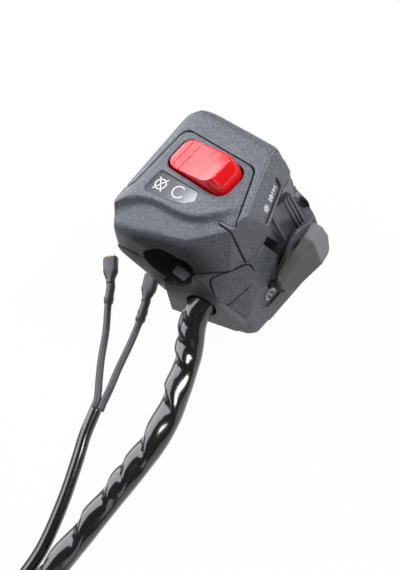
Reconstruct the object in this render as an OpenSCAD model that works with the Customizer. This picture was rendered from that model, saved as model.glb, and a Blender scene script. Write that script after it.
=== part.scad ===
// Right hand handlebar switch cluster lying face up: stop rocker, lamp slider and start lever
// in a shell that clamps round a handlebar, with its wiring harness and two booted leads.
// X runs outboard along the bar, Z out of the switch face, the origin is on the bar axis.

/* [Bar clamp] */
// handlebar diameter
bar_d = 22.2; // [21.8:0.1:23]
// radial clearance between the bar and the clamp bore
bar_clear = 0.1; // [0.05:0.05:0.2]
// wall between the bar and the wiring room
saddle = 3; // [2.6:0.1:3.2]

/* [Housing] */
// length from the bar centre point to the near end
near_l = 28; // [27:0.5:30]
// length from the bar centre point to the far end
far_l = 32; // [31.5:0.5:35]
// height of the switch face above the bar axis
face_h = 24; // [23.8:0.1:25]
// depth of the flat underside below the bar axis
base_h = 34; // [33.5:0.5:36]
// reach of the left wall at the seam
left_w = 29; // [28.5:0.5:30]
// reach of the right wall at the underside
right_w = 35; // [34.8:0.1:35.6]
// slant of the left wall in plan, degrees
skew = 4; // [3:0.5:5]
// gap between the two halves of the shell
seam = 0.3; // [0.2:0.1:0.4]
// width of the groove round the face cover
groove = 0.5; // [0.3:0.1:0.7]
// thickness of the face cover
cover_t = 2.6; // [2.4:0.1:2.8]

/* [Stop rocker] */
// length of the rocker
rocker_l = 31; // [29:0.5:31.5]
// width of the rocker
rocker_w = 15.2; // [14:0.2:15.4]
// angle between the two positions, degrees
rocker_throw = 14; // [12:1:15]
// height of the rocker crest above its pivot
rocker_crest = 9.5; // [8.8:0.1:10]

/* [Lamp slider] */
// width of the ridged knob
knob_w = 13; // [12:0.5:14]
// height of the knob along its slope
knob_h = 15.5; // [13:0.5:16]
// travel of the slider
slider_travel = 8; // [6:0.5:8.5]

/* [Start lever] */
// height of the lever plate
lever_h = 16.5; // [16:0.5:18]
// thickness of the lever plate at its ends
lever_t = 2.4; // [2.2:0.1:2.8]
// diameter of the lever hinge pin
pin_d = 2.2; // [2:0.1:2.4]

/* [Wiring] */
// diameter of the harness sleeve
harness_d = 10; // [9:0.25:10]
// diameter of the branch sleeve
branch_d = 5.5; // [5:0.25:5.5]
// diameter of a single lead
lead_d = 3; // [2.6:0.1:3]

/* [Hidden] */
$fn = 48;
// half the size of the cutting blocks
span = 130;
// clearance between fixed pieces that fit into each other
fit = 0.2;
// clearance between pieces that move past each other
run = 0.4;
// radial clearance of a pin in its moving part
pin_run = 0.06;
// radial clearance of a pin or screw in a fixed part
pin_fit = 0.03;
// overlap that joins shapes of one piece
bite = 0.2;

// radii round the bar and the heights that follow from them
bore_r = bar_d / 2 + bar_clear;
cover_z = face_h - cover_t;
kill_depth = 7.2;
pocket_z = cover_z - kill_depth;

// plan line where the collar block ends and the far shell begins
split_x = -8;
// plan of the face cover
cover_left = 23.5;
cover_far = 18;
cover_right = -13;
cover_round = 4;

// stop rocker centre and pivot
rocker_x = 7.9;
rocker_y = 4;
pivot_z = cover_z - 1.8;
rocker_r = rocker_l / 2;
rocker_round = 4.5;
rocker_pin_r = 0.9;
ear_t = 1.2;
ear_gap = 0.9;
ear_top = 1.5;
kill_x0 = rocker_x - rocker_w / 2 - ear_gap - ear_t;
kill_x1 = rocker_x + rocker_w / 2 + ear_gap + ear_t;
kill_half = 10.5;
kill_plate = 1.8;
kill_room = 0.3;

// lamp slider bay
bay_x0 = 3.5;
bay_top = 12.2;
bay_slope = 0.05;
bay_floor = -9;
bay_back = -21.4;
far_wall_y = -24;
far_wall_t = 0.8;
far_bay_x = 28.6;
far_bay_y = -18.6;
rim_in = -31.8;
rim_out = -33.4;
track_t = 1.2;
track_top = bay_top - 0.6;
track_x0 = 4;
track_x1 = 27.6;
knob_x = 16.5;
knob_y = -25.5;
knob_z = 2.8;
knob_lean = 18.7;
neck_x = 13.5;
neck_w = 4;
neck_z0 = 4.8;
neck_z1 = 7.6;
carrier_w = 9;
wiper_w = 7;
wiper_z0 = 3.4;
wiper_z1 = 8.6;
wiper_t = 0.5;
wiper_out = 2.7;
slide_x0 = 5.5;
slide_x1 = 27;
slide_top = 11;
slide_in = -15;

// slot along the foot of the chamfer
slot_x = 13.5;
slot_z = 14.4;
slot_l = 18;
slot_w = 1.3;
slot_deep = 2;
hook_h = 4;
slot_plan = [[-slot_l / 2, -slot_w / 2], [slot_l / 2, -slot_w / 2], [slot_l / 2 + slot_w, hook_h],
    [slot_l / 2, hook_h], [slot_l / 2 - slot_w, slot_w / 2], [-slot_l / 2, slot_w / 2]];

// start lever hinge and contacts
hinge_x = -2;
hinge_y = -26.2;
lever_y = -35.6;
lever_lean = 12;
lever_top = -1;
tab_z0 = -17.5;
tab_z1 = -15.5;
tab_r = 2.2;
tab_gap = 0.3;
foot_z0 = -24.2;
foot_z1 = -22.9;
lug_z0 = -19.6;
lug_half = 3;
lug_out = 1.9;
lever_in = -30;
nose_x = 16;
nose_w = 4;
nose_z0 = -17.5;
nose_z1 = -14.5;
nose_end = -26;
start_y0 = -23.4;
start_y1 = -16.5;
start_x0 = -6;
start_x1 = 21.5;
start_z0 = -21;
start_top = -11;
pocket_x = -6.5;
start_mark_z = -19.7;
pocket_deep = 0.8;
room_x0 = -20;
room_x1 = 26;
room_y0 = -28.5;
room_y1 = 1;
room_floor = -base_h + 2.4;
room_top = -bore_r - saddle - 0.4;

// clamp screws, one each side of the bar
screw_spots = [[6, 19.5], [-12, -16.8]];
screw_r = 2.4;
screw_head_r = 4;
screw_seat = -7;
screw_head_h = 4;
screw_top = 4.6;
column_r = 5;

// module screws
kill_screws = [[rocker_x - 4.5, rocker_y - 8], [rocker_x + 4.5, rocker_y + 8]];
start_screws = [[1, -19], [17, -19]];
small_r = 1.2;
small_head_r = 2;
small_head_h = 1.3;
small_l = 5;
kill_screw_l = 2.4;

// harness exit and cord routes, points chosen by hand along the centre lines
exit_y = -12;
exit_z = -21.7;
hole_r = 6.6;
clip_x = room_x0;
clip_t = 2.4;
joint_x0 = -184;
joint_x1 = -164;
joint_r = 5.7;
joint_side_r = 3.8;
run_y = -37;
branch_y = -28.6;
table_z = -base_h;
harness_r = harness_d / 2;
branch_r = branch_d / 2;
lead_r = lead_d / 2;
run_z = table_z + 5;
branch_z = table_z + 2.8;
lead_z = table_z + 1.6;
harness_route = [
    [-17.6, exit_y, exit_z], [-22, exit_y, exit_z], [-27, exit_y, exit_z],
    [-32, -12.6, exit_z - 1.1], [-37, -14.6, exit_z - 3.3], [-42, -17.2, exit_z - 5.6],
    [-47, -19.9, exit_z - 6.9], [-53, -22.9, run_z], [-61, -26.6, run_z], [-70, -30.4, run_z],
    [-80, -33, run_z], [-92, -34.5, run_z], [-110, -35.3, run_z], [-130, -36.4, run_z],
    [-148, run_y, run_z], [joint_x1, run_y, run_z]];
branch_route = [
    [joint_x1, branch_y, branch_z], [-156, branch_y, branch_z], [-143, -27.1, branch_z],
    [-131, -23.2, branch_z], [-119, -17.9, branch_z], [-107.6, -12.1, branch_z],
    [-99.1, -7.4, branch_z], [-91.4, -4.2, branch_z], [-88, -2.8, branch_z]];
lead_a_route = [
    [-88.6, -1.32, lead_z], [-85.2, 0.08, lead_z], [-81.6, 2.9, lead_z], [-78, 6.2, lead_z],
    [-70.5, 12.5, lead_z], [-59.8, 20.5, lead_z], [-50, 29.2, lead_z], [-43, 34.6, lead_z],
    [-40.9, 36.7, lead_z]];
lead_b_route = [
    [-87.38, -4.27, lead_z], [-83.98, -2.87, lead_z], [-78, -0.8, lead_z], [-69, 2.8, lead_z],
    [-57, 7, lead_z], [-47.1, 11.1, lead_z], [-39.6, 14.9, lead_z], [-37.5, 16.1, lead_z]];
boot_a_turn = 45;
boot_b_turn = 29.7;
boot_l = 12;
boot_w = 6.5;
boot_h = 5;
terminal_l = 1.6;
terminal_w = 4.6;
terminal_h = 2.4;

// put away coil of the harness
coil_x = -228;
coil_r = 54;
coil_turns = 1.25;
coil_rings = 24;
coil_rise = harness_d + 0.6;
rise_from = 265;
rise_to = 330;
tie_angle = 45;
tie_w = 4;
tie_t = 1.2;
tie_gap = 0.3;

function unit(v) = v / norm(v);

// a plane as outward normal and distance, through a point
function facet(n, p) = [unit(n), unit(n) * p];

// points of one rounded corner at p between a and b
function corner(a, p, b, r, n = 6) =
    r <= 0 ? [p] :
    let (u = unit(a - p))
    let (w = unit(b - p))
    let (h = acos(u * w) / 2)
    let (c = p + unit(u + w) * r / sin(h))
    let (s = p + u * r / tan(h) - c)
    let (e = p + w * r / tan(h) - c)
    let (a0 = atan2(s.y, s.x))
    let (d = atan2(e.y, e.x) - a0)
    let (turn = d > 180 ? d - 360 : d < -180 ? d + 360 : d)
    [for (i = [0 : n]) c + r * [cos(a0 + turn * i / n), sin(a0 + turn * i / n)]];

// outline with each corner rounded by its own radius
function rounded(pts, radii, n = 6) =
    let (k = len(pts))
    [for (i = [0 : k - 1]) each corner(pts[(i + k - 1) % k], pts[i], pts[(i + 1) % k], radii[i], n)];

// outline with the same radius at every corner
function soft(pts, r, n = 6) = rounded(pts, [for (p = pts) r], n);

// facets of the housing
chamfer = facet([0.316, -0.83, 0.46], [far_l - 2, -13.7, face_h - 1.2]);
side_wall = facet([0.185, -0.923, -0.385], [0, -26, 0]);
near_side = facet([-0.74, -0.62, 0.25], [-near_l + 15.64, -17.38, face_h - 4.4]);
near_turn = facet([-0.33, -0.94, 0.118], [-near_l + 18.6, -24.7, 0]);
near_lip = facet([-0.84, -0.31, 0.445], [-near_l + 7.5, -6.6, face_h - 6]);
near_end = facet([-1, -0.19, 0], [-near_l, 0, 0]);
near_slope = facet([-0.32, -0.09, 0.945], [-near_l + 3.9, 4.8, face_h - 6]);
base_wall = facet([0, -0.992, 0.124], [0, -right_w, -base_h]);
shoulder = facet([0, -0.919, 0.394], [0, -26, 0]);
near_shoulder = facet([-0.407, -0.698, 0.588], [-near_l + 21.4, -25.8, 0]);
snout_end = facet([-1, -0.3, 0.138], [-near_l, 0, 0]);
far_edge = facet([0.55, 0, 0.835], [far_l - 3.4, 0, face_h]);
far_side = facet([0.97, -0.243, 0], [far_l, -12, 0]);
near_left = facet([-0.611, 0.769, 0.21], [-near_l + 6, left_w - 1, face_h - 4]);
near_corner = facet([-0.72, -0.69, 0], [-near_l + 5.6, -right_w + 2.6, 0]);
// height of a facet in Y above a spot in X and Z
function on_y(f, x, z) = (f[1] - f[0].x * x - f[0].z * z) / f[0].y;
snout_y = 4;
far_round = 15;
far_slant = 0.3;
left_lean = 2.2;

// sections of the two halves, and their plan with the far corner rounded
upper_section = rounded(
    [[left_w, 0], [left_w + left_lean - 0.6, 12], [left_w + left_lean, face_h], [-span, face_h], [-span, 0]],
    [0, 20, 9, 0, 0]);
lower_section = rounded(
    [[left_w, 0], [left_w - 0.5, -6], [left_w - 10, -18], [left_w - 21, -base_h],
        [-span, -base_h], [-span, 0]],
    [0, 8, 16, 4, 0, 0]);
function left_at(x) = (left_w + left_lean) / cos(skew) + x * tan(skew) + 0.5;
plan_outline = rounded(
    [[-span, left_at(-span)], [far_l - far_slant, left_at(far_l)], [far_l, far_wall_y],
        [far_l - 6, -36], [far_l - 6, -span], [-span, -span]],
    [0, far_round, 3, 6, 0, 0]);

// plan of the face cover plate and of the collar block behind it, grown by g
function cover_plan(g) = rounded(
    [[split_x - 6, cover_left + g], [cover_far + g, cover_left + g], [cover_far + g, cover_right - g],
        [-1.3, -21.6 - g], [split_x - 1.5, -24.5 - g], [split_x - 6, -24.5 - g]],
    [0, cover_round, cover_round, 2, 0, 0]);
function collar_plan(g) =
    [[-span, -span], [split_x + g, -span], [split_x + g, cover_left + g],
        [split_x - 4, cover_left + g], [split_x - 8, cover_left + 1.5 + g],
        [split_x - 9 + g, span], [-span, span]];

// plan of the wave step, an S curve across the face
function wave_x(y) = let (t = (y - rocker_y) / 20) -14.4 - 1.6 * t - 8 * pow(t, 3);
wave_plan = concat(
    [[-span, -40]],
    [for (y = [-28 : 4 : 32]) [wave_x(y), y]],
    [[-span, 40]]);

legend_plan = soft(
    [[-13.6, 18.3], [-2.7, 18.3], [-2.4, -2], [-6.4, -3.5], [-9.7, -0.4], [-11.4, 5]], 1.2, 4);
blank_plan = soft([[-8.2, -1], [8.8, -1], [10.2, -8.2], [-5.2, -14.6], [-8.3, -11.4]], 2.6, 5);
// side view of the rim in front of the slider bay
rim_side = rounded(
    [[-5, -20], [-3, -14.6], [4.7, -7.9], [9.8, -1.5], [16, 0.4], [24, -4], [25, -20]],
    [0, 2, 10, 8, 5, 3, 0]);
start_pocket = soft([[-6.5, 5.7], [6.5, 5.7], [6.5, -5.7], [-4.5, -5.7]], 2.5, 5);
blank_t = 1.6;
blank_proud = 0.3;

// rocker side view about its pivot, midway between its two positions
rocker_side = [
    [-16.4, 3], [-16.4, 0], [-1.4, -2.2], [1.4, -2.2], [16.4, 0], [16.4, 3], [14.3, 6.7], [12.8, 7.2],
    [6.2, 6.9], [0.1, 7.2], [-6, 8], [-11, rocker_crest], [-11.8, rocker_crest]];

// plan of the rocker's opening, with a clearance of g
function rocker_plan(g) =
    let (w = rocker_w / 2 + g)
    let (l = rocker_r + g)
    soft(
        [[rocker_x - w, rocker_y - l], [rocker_x + w, rocker_y - l], [rocker_x + w, rocker_y + l],
            [rocker_x - w, rocker_y + l]],
        rocker_round + g);

// side view of the lever plate and its plan along the hinge side
lever_side = rounded(
    [[23.4, lever_top], [25, -10], [22.6, lever_top - lever_h], [-0.6, lever_top - lever_h], [-5, -11.6],
        [-4.2, -8.4], [8, -3.8]],
    [2.5, 4, 3, 3, 2.5, 1.5, 12]);
lever_plan = [[-8, 1], [28, 1], [28, -lever_t + 0.6], [16, -lever_t - 1.4], [-8, -lever_t + 1]];

// keep what lies behind a facet
module keep(f) {
    rotate([0, acos(f[0].z), atan2(f[0].y, f[0].x)])
        translate([-span, -span, f[1] - 2 * span])
            cube(2 * span);
}

// lay children on a facet at a point, their Z along its normal
module on_facet(f, p) {
    translate(p)
        rotate([acos(f[0].z), 0, atan2(f[0].x, -f[0].y)])
            children();
}

// extrude a Y, Z outline from x0 to x1
module along_x(x0, x1) {
    translate([x0, 0, 0])
        rotate([90, 0, 90])
            linear_extrude(height = x1 - x0)
                children();
}

// extrude an X, Z outline from y0 to y1
module along_y(y0, y1) {
    translate([0, y1, 0])
        rotate([90, 0, 0])
            linear_extrude(height = y1 - y0)
                children();
}

module box(low, high) {
    translate(low)
        cube(high - low);
}

module rod(p, r, h) {
    translate(p)
        cylinder(r = r, h = h);
}

module rod_x(p, r, h) {
    translate(p)
        rotate([0, 90, 0])
            cylinder(r = r, h = h);
}

module bar_bore() {
    rod_x([-span, 0, 0], bore_r, 2 * span, $fn = 96);
}

// solid outside shape of the upper half
module upper_body() {
    intersection() {
        rotate([0, 0, skew])
            along_x(-span, span)
                polygon(upper_section);
        translate([0, 0, seam / 2])
            linear_extrude(height = span)
                polygon(plan_outline);
        keep(chamfer);
        keep(side_wall);
        keep(near_side);
        keep(near_turn);
        keep(near_lip);
        keep(near_end);
        keep(near_left);
        keep(far_edge);
        keep(far_side);
    }
}

// solid outside shape of the lower half
module lower_body() {
    intersection() {
        rotate([0, 0, skew])
            along_x(-span, span)
                polygon(lower_section);
        translate([0, 0, -span - seam / 2])
            linear_extrude(height = span)
                polygon(plan_outline);
        keep(base_wall);
        keep(shoulder);
        keep(near_shoulder);
        keep(near_corner);
        union() {
            keep(near_end);
            intersection() {
                keep(snout_end);
                box([-span, -span, -span], [span, snout_y, span]);
            }
        }
    }
}

// space of the cover and collar, grown by g, above the ledge they sit on
module cover_space(g) {
    translate([0, 0, cover_z])
        linear_extrude(height = span)
            polygon(cover_plan(g));
    linear_extrude(height = span)
        polygon(collar_plan(g));
}

module screw_holes(r) {
    for (s = screw_spots)
        rod([s.x, s.y, screw_seat - bite], r, screw_top + 0.6 - screw_seat);
}

module upper_shell() {
    color("#5f6166")
    difference() {
        upper_body();
        cover_space(groove);
        bar_bore();
        box([kill_x0 - kill_room, rocker_y - rocker_r - 1, pocket_z],
            [kill_x1 + kill_room, rocker_y + rocker_r + 1, span]);
        along_y(-span, bay_back)
            polygon([[bay_x0 - 3, -1], [bay_x0 + 2, bay_top],
                [span, bay_top + bay_slope * (span - bay_x0 - 2)], [span, -1]]);
        on_facet(chamfer, [slot_x, on_y(chamfer, slot_x, slot_z), slot_z])
            translate([0, 0, -slot_deep])
                linear_extrude(height = 2 * slot_deep)
                    polygon(soft(slot_plan, 0.4, 4));
        box([far_bay_x, -span, -1], [span, far_bay_y, bay_top]);
        box([track_x0, bay_back - bite, -1], [track_x1, bay_back + track_t, track_top]);
        box([slide_x0, bay_back, -1], [slide_x1, slide_in, slide_top]);
        screw_holes(screw_r + pin_fit);
        for (s = kill_screws)
            rod([s.x, s.y, pocket_z - kill_screw_l], small_r + pin_fit, kill_screw_l + 1);
    }
}

module face_cover() {
    color("#6f7277")
    difference() {
        intersection() {
            upper_body();
            cover_space(0);
        }
        difference() {
            linear_extrude(height = span)
                polygon(wave_plan);
            keep(near_slope);
        }
        bar_bore();
        linear_extrude(height = span)
            polygon(rocker_plan(run));
        translate([0, 0, face_h - 1])
            linear_extrude(height = 2)
                polygon(legend_plan);
        screw_holes(screw_r + pin_fit);
    }
}

module legend_plate() {
    color("#8d9094")
    translate([0, 0, face_h - 1])
        linear_extrude(height = 0.6)
            polygon(grown(legend_plan, -fit));
}

module lower_shell() {
    color("#4b4d52")
    difference() {
        union() {
            lower_body();
            intersection() {
                along_y(rim_out, rim_in)
                    polygon(rim_side);
                box([-span, -span, -span], [span, 0, 1.4]);
            }
        }
        bar_bore();
        difference() {
            union() {
                box([room_x0, room_y0, room_floor], [room_x1, room_y1, room_top]);
                box([start_x0 - 1, room_y0, room_floor], [start_x1 + 0.5, start_y1 + 0.5, start_top]);
            }
            rod([screw_spots[1].x, screw_spots[1].y, -span], column_r, span);
        }
        along_y(rim_in, bay_back)
            polygon([[bay_x0 + 2, bay_floor], [bay_x0 - 1, 2], [far_l - far_wall_t, 2],
                [far_l - far_wall_t, bay_floor]]);
        along_x(far_bay_x, span)
            polygon([[far_wall_y + 5, -2], [-span, -80], [-span, 0], [far_wall_y + 5, 0]]);
        screw_holes(screw_r + run);
        for (s = screw_spots)
            rod([s.x, s.y, screw_seat - span], screw_head_r + run, span);
        rod_x([-span, exit_y, exit_z], hole_r, span + room_x0 + 1);
        box([hinge_x - 3.6, -span, tab_z0 - 0.6], [hinge_x + 3.6, room_y0 + 1, tab_z1 + 0.6]);
        box([nose_x - nose_w / 2 - 1, -span, nose_z0 - 0.6],
            [nose_x + nose_w / 2 + 1.4, room_y0 + 1, nose_z1 + 0.6]);
        on_facet(near_shoulder, [-near_l + 13.6, -21.25, 0])
            translate([0, 0, -blank_t])
                linear_extrude(height = 10)
                    polygon(grown(blank_plan, groove));
        for (s = start_screws)
            rod([s.x, s.y, start_top - 1], small_r + pin_fit, small_l + 1);
        box([earth_x0 - fit, -earth_w / 2 - fit, earth_z - earth_t],
            [earth_x1 + fit, earth_w / 2 + fit, 0]);
        on_facet(base_wall, [pocket_x, on_y(base_wall, pocket_x, start_mark_z), start_mark_z])
            translate([0, 0, -pocket_deep])
                linear_extrude(height = 2 * pocket_deep)
                    polygon(start_pocket);
    }
}

// outline moved outward from its middle by g
function middle(pts) = [for (i = [0, 1]) let (v = [for (p = pts) p[i]]) (min(v) + max(v)) / 2];
function grown(pts, g) = let (m = middle(pts)) [for (p = pts) p + unit(p - m) * g];

module blanking_cover() {
    color("#3c3e42")
    on_facet(near_shoulder, [-near_l + 13.6, -21.25, 0])
        translate([0, 0, -blank_t])
            linear_extrude(height = blank_t + blank_proud)
                polygon(blank_plan);
}

// spring steel strip that lies under the bar
earth_x0 = -25.6;
earth_x1 = -21.4;
earth_w = 8;
earth_t = 1;
earth_z = -bore_r - 0.3;

module earth_strip() {
    color("#b9bcc0")
    box([earth_x0, -earth_w / 2, earth_z - earth_t], [earth_x1, earth_w / 2, earth_z]);
}

// cap screw with its head down
module cap_screw(r, head_r, head_h, length) {
    difference() {
        union() {
            cylinder(r = r, h = length);
            translate([0, 0, -head_h])
                cylinder(r = head_r, h = head_h);
        }
        translate([0, 0, -head_h - 1])
            cylinder(r = head_r * 0.55, h = head_h * 0.6 + 1, $fn = 6);
    }
}

module clamp_screws() {
    color("#9ea2a8")
    for (s = screw_spots)
        translate([s.x, s.y, screw_seat])
            cap_screw(screw_r, screw_head_r, screw_head_h, screw_top - screw_seat);
}

module module_screws() {
    color("#9ea2a8") {
        for (s = start_screws)
            translate([s.x, s.y, start_z0])
                cap_screw(small_r, small_head_r, small_head_h, start_top - start_z0 + small_l - 1.5);
        for (s = kill_screws)
            translate([s.x, s.y, pocket_z + kill_plate - small_head_h])
                mirror([0, 0, 1])
                    cap_screw(small_r, small_head_r, small_head_h, kill_screw_l);
    }
}

module kill_base() {
    color("#b9ab8c")
    difference() {
        union() {
            box([kill_x0, rocker_y - kill_half, pocket_z],
                [kill_x1, rocker_y + kill_half, pocket_z + kill_plate]);
            for (x = [kill_x0, kill_x1 - ear_t])
                box([x, rocker_y - 2.4, pocket_z], [x + ear_t, rocker_y + 2.4, pivot_z + ear_top]);
        }
        rod_x([kill_x0 - 1, rocker_y, pivot_z], rocker_pin_r + pin_fit, kill_x1 - kill_x0 + 2);
        for (s = kill_screws) {
            rod([s.x, s.y, pocket_z - 1], small_r + fit, 4);
            rod([s.x, s.y, pocket_z + kill_plate - small_head_h], small_head_r + fit, 4);
        }
    }
}

module kill_contacts() {
    color("#b87333")
    for (y = [-5, 5])
        box([rocker_x - 2, rocker_y + y - 1, pocket_z + kill_plate],
            [rocker_x + 2, rocker_y + y + 1, pocket_z + kill_plate + 0.3]);
}

module kill_pin() {
    color("#b9bcc0")
    rod_x([kill_x0, rocker_y, pivot_z], rocker_pin_r, kill_x1 - kill_x0);
}

// children stand midway and are tipped into the rest position
module rocker_rest() {
    translate([0, rocker_y, pivot_z])
        rotate([-rocker_throw / 2, 0, 0])
            children();
}

// drum about the rocker's pivot, whose rounded rims keep clear of the opening at any angle
module rocker_drum() {
    w = rocker_w / 2;
    translate([rocker_x, rocker_y, pivot_z])
        rotate([0, 90, 0])
            rotate_extrude($fn = 96)
                polygon(rounded([[0, -w], [rocker_r, -w], [rocker_r, w], [0, w]],
                    [0, rocker_round, rocker_round, 0]));
}

module kill_rocker() {
    color("#e8131f")
    difference() {
        intersection() {
            rocker_rest()
                along_x(rocker_x - rocker_w, rocker_x + rocker_w)
                    polygon(rocker_side);
            rocker_drum();
        }
        rod_x([kill_x0 - 1, rocker_y, pivot_z], rocker_pin_r + pin_run, kill_x1 - kill_x0 + 2);
    }
}

module rocker_contact() {
    color("#b87333")
    rocker_rest()
        box([rocker_x - 3, -1, -2.6], [rocker_x + 3, 1, -2.2]);
}

module slider_track() {
    color("#26272a")
    difference() {
        box([track_x0, bay_back, seam / 2], [track_x1, bay_back + track_t, track_top]);
        box([neck_x - neck_w / 2 - run, bay_back - 1, neck_z0 - run],
            [neck_x + neck_w / 2 + slider_travel + run, bay_back + 2, neck_z1 + run]);
    }
}

module slider_base() {
    color("#b9ab8c")
    box([slide_x0, slide_in - 1.4, seam], [slide_x1, slide_in, slide_top - 0.2]);
}

module slider_contacts() {
    color("#b87333")
    for (i = [0 : 2])
        box([8 + i * 6, slide_in - 1.7, 3], [11 + i * 6, slide_in - 1.4, 9]);
}

// knob profile across its ridges, near end first: one ridge, a thumb scoop and a row of ridges
knob_half = knob_w / 2;
knob_out = 3;
ridge_n = 3;
ridge_pitch = 1.7;
ridge_w = 0.7;
ridge_h = 0.9;
scoop_end = knob_half - ridge_n * ridge_pitch;
knob_profile = concat(
    [[-knob_half, 1.2], [-knob_half, -knob_out + 0.8], [-knob_half + 0.4, -knob_out],
        [-knob_half + 1.1, -knob_out], [-knob_half + 2.1, -knob_out + 1.5],
        [scoop_end - 4.6, -knob_out + 2], [scoop_end - 2.6, -knob_out + 1.9],
        [scoop_end - 0.8, -knob_out + 1.2]],
    [for (i = [0 : ridge_n - 1])
        let (x = scoop_end + i * ridge_pitch)
        each [[x, -knob_out + ridge_h], [x + 0.4, -knob_out], [x + 0.4 + ridge_w, -knob_out],
            [x + 0.8 + ridge_w, -knob_out + ridge_h]]],
    [[knob_half, -knob_out + ridge_h], [knob_half, 1.2]]);
shutter_side = soft(
    [[-knob_half - 6, 2.8], [-knob_half + 1, 6.8], [-knob_half + 1, -7], [-knob_half - 1.6, -7.6]], 0.8, 3);

module slider_knob() {
    color("#17181a") {
        translate([knob_x, knob_y, knob_z])
            rotate([-knob_lean, 0, 0]) {
                translate([0, 0, -knob_h / 2])
                    linear_extrude(height = knob_h)
                        polygon(knob_profile);
                along_y(-0.6, 1)
                    polygon(shutter_side);
            }
        box([neck_x - neck_w / 2, knob_y + 0.5, neck_z0],
            [neck_x + neck_w / 2, bay_back + track_t + fit, neck_z1]);
    }
}

module slider_carrier() {
    color("#d8d4c6")
    box([neck_x - carrier_w / 2, bay_back + track_t + fit, 2],
        [neck_x + carrier_w / 2, slide_in - wiper_out, slide_top - 0.6]);
}

module slider_contact() {
    color("#b87333")
    box([neck_x - wiper_w / 2, slide_in - wiper_out, wiper_z0],
        [neck_x + wiper_w / 2, slide_in - wiper_out + wiper_t, wiper_z1]);
}

module starter_base() {
    color("#b9ab8c")
    difference() {
        union() {
            box([start_x0, start_y0, start_z0], [start_x1, start_y1, start_top]);
            for (z = [[foot_z0, foot_z1], [lug_z0, tab_z0 - tab_gap], [tab_z1 + tab_gap, start_top]])
                box([hinge_x - lug_half, hinge_y - lug_out, z[0]],
                    [hinge_x + lug_half, start_y0 + bite, z[1]]);
            box([hinge_x - lug_half, start_y0, foot_z0], [hinge_x + lug_half, start_y0 + 2, start_z0 + bite]);
        }
        rod([hinge_x, hinge_y, foot_z0 - 1], pin_d / 2 + pin_fit, start_top - foot_z0 + 2);
        for (s = start_screws)
            rod([s.x, s.y, start_z0 - 1], small_r + fit, 20);
    }
}

module starter_contacts() {
    color("#b87333")
    for (x = [nose_x - 4.2, nose_x + 2.8])
        box([x, start_y0 - 0.6, nose_z0 + 0.4], [x + 1.4, start_y0, nose_z1 - 0.4]);
}

module starter_pin() {
    color("#b9bcc0")
    rod([hinge_x, hinge_y, foot_z0], pin_d / 2, start_top - tab_gap - foot_z0);
}

// wound spring round the hinge pin
spring_turns = 3;
spring_rings = 8;
spring_r = pin_d / 2 + 0.6;
spring_wire = 0.3;
spring_z0 = foot_z1 + 0.5;
spring_z1 = lug_z0 - 0.6;
spring_path = [for (i = [0 : spring_turns * spring_rings])
    let (a = 360 * i / spring_rings)
    [hinge_x + spring_r * cos(a), hinge_y + spring_r * sin(a),
        spring_z0 + (spring_z1 - spring_z0) * i / (spring_turns * spring_rings)]];

module starter_spring() {
    color("#c8cacd")
    tube(spring_path, spring_wire, 6);
}

module starter_lever() {
    color("#66655f")
    difference() {
        union() {
            intersection() {
                translate([0, lever_y, lever_top])
                    rotate([-lever_lean, 0, 0])
                        translate([0, 0, -span])
                            linear_extrude(height = 2 * span)
                                polygon(lever_plan);
                along_y(-span, lever_in)
                    polygon(lever_side);
            }
            box([hinge_x - tab_r, lever_y - 3.4, tab_z0], [hinge_x + tab_r, hinge_y, tab_z1]);
            rod([hinge_x, hinge_y, tab_z0], tab_r, tab_z1 - tab_z0);
            box([nose_x - nose_w / 2, lever_y - 3.6, nose_z0], [nose_x + nose_w / 2, nose_end, nose_z1]);
        }
        rod([hinge_x, hinge_y, tab_z0 - 1], pin_d / 2 + pin_run, 4);
    }
}

module starter_bridge() {
    color("#b87333")
    box([nose_x - 4.4, nose_end, nose_z0 + 0.2], [nose_x + 4.4, nose_end + 0.5, nose_z1 - 0.2]);
}

module harness_grommet() {
    color("#1b1c1e")
    difference() {
        rod_x([room_x0 - 6.6, exit_y, exit_z], hole_r - 0.05, 6.6);
        rod_x([-span, exit_y, exit_z], harness_r + fit, 2 * span);
    }
}

module harness_clip() {
    color("#1f2023")
    difference() {
        box([clip_x, exit_y - 6.9, room_floor], [clip_x + clip_t, exit_y + 6.9, exit_z + 6.6]);
        rod_x([-span, exit_y, exit_z], harness_r + fit, 2 * span);
    }
}

// one tube swept through the points of a route, with its ends square to the path
module tube(path, r, sides) {
    n = len(path);
    rings = [for (i = [0 : n - 1])
        let (d = unit(path[min(i + 1, n - 1)] - path[max(i - 1, 0)]))
        let (side = unit(cross(d, [0, 0, 1])))
        let (up = cross(side, d))
        each [for (k = [0 : sides - 1])
            let (a = 360 * (k + 0.5) / sides)
            path[i] + r * (side * cos(a) + up * sin(a))]];
    walls = [for (i = [0 : n - 2])
        each [for (k = [0 : sides - 1])
            let (a = i * sides + k)
            let (b = i * sides + (k + 1) % sides)
            each [[a, b, a + sides], [b, b + sides, a + sides]]]];
    caps = [for (k = [1 : sides - 2])
        each [[0, k + 1, k], [(n - 1) * sides, (n - 1) * sides + k, (n - 1) * sides + k + 1]]];
    polyhedron(points = rings, faces = concat(walls, caps));
}

module harness_run() {
    color("#0c0d0f")
    tube(harness_route, harness_r, 10);
}

// moulded joint where the branch leaves the harness
module harness_joint() {
    color("#1b1c1e")
    union() {
        rod_x([joint_x0, run_y, table_z + joint_r], joint_r, joint_x1 - joint_x0);
        rod_x([joint_x0, branch_y, table_z + joint_side_r], joint_side_r, joint_x1 - joint_x0);
        box([joint_x0, run_y, table_z], [joint_x1, branch_y, table_z + 2 * joint_side_r]);
    }
}

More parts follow.
